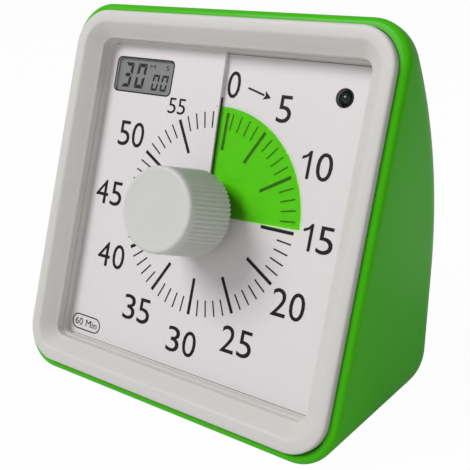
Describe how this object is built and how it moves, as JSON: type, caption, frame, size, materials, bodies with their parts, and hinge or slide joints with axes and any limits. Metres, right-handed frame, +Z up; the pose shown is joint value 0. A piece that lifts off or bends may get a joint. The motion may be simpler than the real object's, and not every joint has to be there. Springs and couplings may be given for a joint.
{
  "type": "visual countdown timer",
  "caption": "Free-standing wedge-shaped countdown timer with a square numbered dial, ribbed set knob, green vanishing disc, small display and battery door at the back",
  "frame": {"origin": "centre of the flat base that it stands on", "axes": "+Z up, -Y the way the dial faces (the face leans back 17.1 degrees), +X to the right of the dial as its user sees it"},
  "size_m": [0.088, 0.0527, 0.0857],
  "materials": {
    "white_plastic": "fine satin moulding",
    "green_plastic": "glossy moulding",
    "dial_card": "matt printed plate",
    "green_film": "clear tinted film",
    "natural_plastic": "natural acetal",
    "knob_plastic": "satin moulding",
    "spring_steel": "nickel plated",
    "board_green": "solder mask",
    "black_plastic": "moulded",
    "clear_epoxy": "dark clear lens",
    "display_glass": "polariser over glass",
    "elastomer": "silicone",
    "motor_iron": "punched",
    "copper_wire": "enamelled wire"
  },
  "bodies": {
    "root": {"front_bezel": "white_plastic", "rear_case": "green_plastic", "dial_plate": "dial_card", "chassis_plate": "white_plastic", "circuit_board": "board_green", "control_chip": "black_plastic", "buzzer": "black_plastic", "indicator_led": "clear_epoxy", "lcd_glass": "display_glass", "lcd_holder": "black_plastic", "contact_strips": "elastomer", "movement_front_plate": "black_plastic", "movement_housing": "black_plastic", "stator": "motor_iron", "motor_coil": "copper_wire", "positive_contacts": "spring_steel", "negative_plates": "spring_steel", "battery_springs": "spring_steel", "switch_body": "black_plastic", "chassis_screws": "spring_steel", "movement_screws": "spring_steel", "board_screws": "spring_steel"},
    "knob": {"knob": "knob_plastic", "spindle": "natural_plastic", "clutch_spring": "spring_steel", "spindle_clip": "spring_steel"},
    "disc": {"timer_disc": "green_film", "disc_hub": "natural_plastic"},
    "centre_wheel": {"centre_wheel": "natural_plastic"},
    "third_wheel": {"third_wheel": "natural_plastic"},
    "intermediate_wheel": {"intermediate_wheel": "natural_plastic"},
    "rotor": {"rotor": "natural_plastic"},
    "battery_door": {"battery_door": "green_plastic"},
    "switch_slider": {"switch_slider": "black_plastic"}
  },
  "joints": [
    {"name": "knob_turn", "type": "hinge", "parent": "root", "child": "knob", "pos_m": [0, -0.01676, 0.04464], "axis": [0, 0.9558, -0.294], "range_deg": [-87.6, 272.4]},
    {"name": "disc_advance", "type": "slide", "parent": "knob", "child": "disc", "axis": [0, -0.9558, 0.294], "range_m": [-0.0003, 0.00092]},
    {"name": "centre_spin", "type": "hinge", "parent": "root", "child": "centre_wheel", "pos_m": [0, 0.00045, 0.03935], "axis": [0, -0.9558, 0.294], "continuous": true},
    {"name": "third_spin", "type": "hinge", "parent": "root", "child": "third_wheel", "pos_m": [0.00787, -0.00231, 0.03038], "axis": [0, -0.9558, 0.294], "continuous": true},
    {"name": "intermediate_spin", "type": "hinge", "parent": "root", "child": "intermediate_wheel", "pos_m": [-0.00199, -0.00337, 0.02695], "axis": [0, -0.9558, 0.294], "continuous": true},
    {"name": "rotor_spin", "type": "hinge", "parent": "root", "child": "rotor", "pos_m": [-0.01186, -0.00231, 0.03038], "axis": [0, -0.9558, 0.294], "continuous": true},
    {"name": "door_lift", "type": "slide", "parent": "root", "child": "battery_door", "axis": [0, 1, 0], "range_m": [0, 0.03]},
    {"name": "switch_throw", "type": "slide", "parent": "root", "child": "switch_slider", "axis": [1, 0, 0], "range_m": [0, 0.0024]}
  ],
  "couplings": [
    {"joint": "disc_advance", "follows": "knob_turn", "m_per_rad": 0.00019099},
    {"joint": "intermediate_spin", "follows": "rotor_spin", "ratio": -0.2},
    {"joint": "third_spin", "follows": "rotor_spin", "ratio": 0.04},
    {"joint": "centre_spin", "follows": "rotor_spin", "ratio": -0.0066667}
  ]
}
